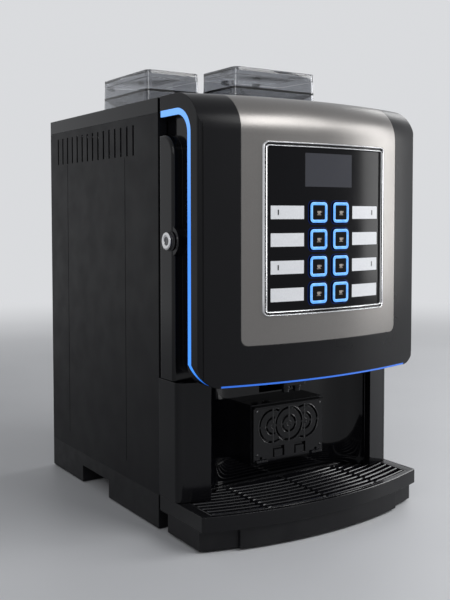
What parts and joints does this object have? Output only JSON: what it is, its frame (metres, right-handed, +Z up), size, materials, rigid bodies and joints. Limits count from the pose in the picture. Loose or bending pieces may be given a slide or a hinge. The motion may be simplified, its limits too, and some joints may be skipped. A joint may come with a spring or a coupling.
{
  "type": "bean-to-cup coffee machine",
  "caption": "Free-standing bean-to-cup coffee machine with a hinged bowed front door, illuminated keys, folding cup shelf, drip tray and clear bean hoppers.",
  "frame": {"origin": "on the worktop, under the middle of the machine's bounding box", "axes": "+Z up, +X towards the door's hinge side, -Y towards the person in front of it"},
  "size_m": [0.4165, 0.566, 0.7205],
  "materials": {
    "black_gloss": "gloss",
    "dark_moulding": "satin",
    "coated_steel": "satin",
    "plated_steel": "satin",
    "silver_satin": "satin",
    "chrome": "polished",
    "panel_glass": "gloss",
    "key_glass": "gloss",
    "blue_light": "satin",
    "label_white": "satin",
    "smoked_clear": "gloss",
    "grey_moulding": "satin",
    "white_moulding": "satin",
    "circuit_board": "satin",
    "brass": "satin",
    "rubber": "matte"
  },
  "bodies": {
    "cabinet": {"base_plinth": "dark_moulding", "rubber_feet": "rubber", "tray_base": "dark_moulding", "side_panel_left": "coated_steel", "side_panel_right": "coated_steel", "rear_panel": "coated_steel", "top_cover": "black_gloss", "inner_chassis": "plated_steel", "front_frame": "black_gloss", "hinge_brackets": "plated_steel", "latch_keeper": "plated_steel", "nozzle_head": "black_gloss", "hopper_front": "smoked_clear", "hopper_rear": "smoked_clear", "grinder_front": "grey_moulding", "grinder_rear": "grey_moulding", "brew_frame": "grey_moulding", "canister_left": "white_moulding", "canister_right": "white_moulding", "mixer_bowl": "white_moulding", "boiler": "plated_steel", "water_pump": "grey_moulding", "water_inlet": "brass", "power_inlet": "dark_moulding", "power_supply": "plated_steel", "control_board": "circuit_board", "fan_frame": "dark_moulding"},
    "door": {"door_shell": "black_gloss", "door_inner_shell": "dark_moulding", "door_light_strip": "blue_light", "silver_fascia": "silver_satin", "panel_bezel": "chrome", "control_panel": "panel_glass", "display_screen": "panel_glass", "label_strips": "label_white", "key_board": "circuit_board"},
    "lock": {"lock_barrel": "chrome"},
    "tray": {"drip_tray": "black_gloss", "drip_grille": "dark_moulding"},
    "waste_unit": {"station_liner": "black_gloss", "grounds_bin": "dark_moulding", "shelf_housing": "black_gloss"},
    "shelf": {"cup_shelf": "black_gloss"},
    "front_lid": {"hopper_lid_front": "smoked_clear"},
    "rear_lid": {"hopper_lid_rear": "smoked_clear"},
    "front_burr": {"burr_front": "plated_steel"},
    "rear_burr": {"burr_rear": "plated_steel"},
    "fan": {"fan_rotor": "dark_moulding"},
    "left_auger": {"auger_left": "white_moulding"},
    "right_auger": {"auger_right": "white_moulding"},
    "mixer": {"whipper": "white_moulding"},
    "piston": {"brew_piston": "grey_moulding"},
    "pushbutton_1": {"key_1": "key_glass"},
    "pushbutton_2": {"key_2": "key_glass"},
    "pushbutton_3": {"key_3": "key_glass"},
    "pushbutton_4": {"key_4": "key_glass"},
    "pushbutton_5": {"key_5": "key_glass"},
    "pushbutton_6": {"key_6": "key_glass"},
    "pushbutton_7": {"key_7": "key_glass"},
    "pushbutton_8": {"key_8": "key_glass"}
  },
  "joints": [
    {"name": "door_hinge", "type": "hinge", "parent": "cabinet", "child": "door", "pos_m": [0.199, -0.1332, 0.41], "axis": [0, 0, 1], "range_deg": [0, 100]},
    {"name": "lock_turn", "type": "hinge", "parent": "door", "child": "lock", "pos_m": [-0.205, -0.16, 0.433], "axis": [1, 0, 0], "range_deg": [0, 90]},
    {"name": "tray_slide", "type": "slide", "parent": "cabinet", "child": "tray", "axis": [0, -1, 0], "range_m": [0, 0.13]},
    {"name": "waste_slide", "type": "slide", "parent": "cabinet", "child": "waste_unit", "axis": [0, -1, 0], "range_m": [0, 0.2]},
    {"name": "shelf_fold", "type": "hinge", "parent": "waste_unit", "child": "shelf", "pos_m": [0, -0.175, 0.091], "axis": [1, 0, 0], "range_deg": [0, 90]},
    {"name": "front_lid_hinge", "type": "hinge", "parent": "cabinet", "child": "front_lid", "pos_m": [0.082, 0.0785, 0.708], "axis": [-1, 0, 0], "range_deg": [0, 100]},
    {"name": "rear_lid_hinge", "type": "hinge", "parent": "cabinet", "child": "rear_lid", "pos_m": [-0.06, 0.2545, 0.708], "axis": [-1, 0, 0], "range_deg": [0, 100]},
    {"name": "front_burr_turn", "type": "hinge", "parent": "cabinet", "child": "front_burr", "pos_m": [0.082, 0.021, 0.595], "axis": [0, 0, 1], "continuous": true},
    {"name": "rear_burr_turn", "type": "hinge", "parent": "cabinet", "child": "rear_burr", "pos_m": [-0.06, 0.163, 0.595], "axis": [0, 0, 1], "continuous": true},
    {"name": "fan_turn", "type": "hinge", "parent": "cabinet", "child": "fan", "pos_m": [-0.11, 0.267, 0.47], "axis": [0, 1, 0], "continuous": true},
    {"name": "left_auger_turn", "type": "hinge", "parent": "cabinet", "child": "left_auger", "pos_m": [-0.146, -0.03, 0.318], "axis": [0, 1, 0], "continuous": true},
    {"name": "right_auger_turn", "type": "hinge", "parent": "cabinet", "child": "right_auger", "pos_m": [-0.064, -0.03, 0.318], "axis": [0, 1, 0], "continuous": true},
    {"name": "whipper_turn", "type": "hinge", "parent": "cabinet", "child": "mixer", "pos_m": [-0.105, -0.088, 0.254], "axis": [0, 1, 0], "continuous": true},
    {"name": "piston_slide", "type": "slide", "parent": "cabinet", "child": "piston", "axis": [0, 0, 1], "range_m": [0, 0.032]},
    {"name": "key_1_press", "type": "slide", "parent": "door", "child": "pushbutton_1", "axis": [0, 1, 0], "range_m": [0, 0.0015], "stiffness_N_per_m": 800},
    {"name": "key_2_press", "type": "slide", "parent": "door", "child": "pushbutton_2", "axis": [0, 1, 0], "range_m": [0, 0.0015], "stiffness_N_per_m": 800},
    {"name": "key_3_press", "type": "slide", "parent": "door", "child": "pushbutton_3", "axis": [0, 1, 0], "range_m": [0, 0.0015], "stiffness_N_per_m": 800},
    {"name": "key_4_press", "type": "slide", "parent": "door", "child": "pushbutton_4", "axis": [0, 1, 0], "range_m": [0, 0.0015], "stiffness_N_per_m": 800},
    {"name": "key_5_press", "type": "slide", "parent": "door", "child": "pushbutton_5", "axis": [0, 1, 0], "range_m": [0, 0.0015], "stiffness_N_per_m": 800},
    {"name": "key_6_press", "type": "slide", "parent": "door", "child": "pushbutton_6", "axis": [0, 1, 0], "range_m": [0, 0.0015], "stiffness_N_per_m": 800},
    {"name": "key_7_press", "type": "slide", "parent": "door", "child": "pushbutton_7", "axis": [0, 1, 0], "range_m": [0, 0.0015], "stiffness_N_per_m": 800},
    {"name": "key_8_press", "type": "slide", "parent": "door", "child": "pushbutton_8", "axis": [0, 1, 0], "range_m": [0, 0.0015], "stiffness_N_per_m": 800}
  ]
}
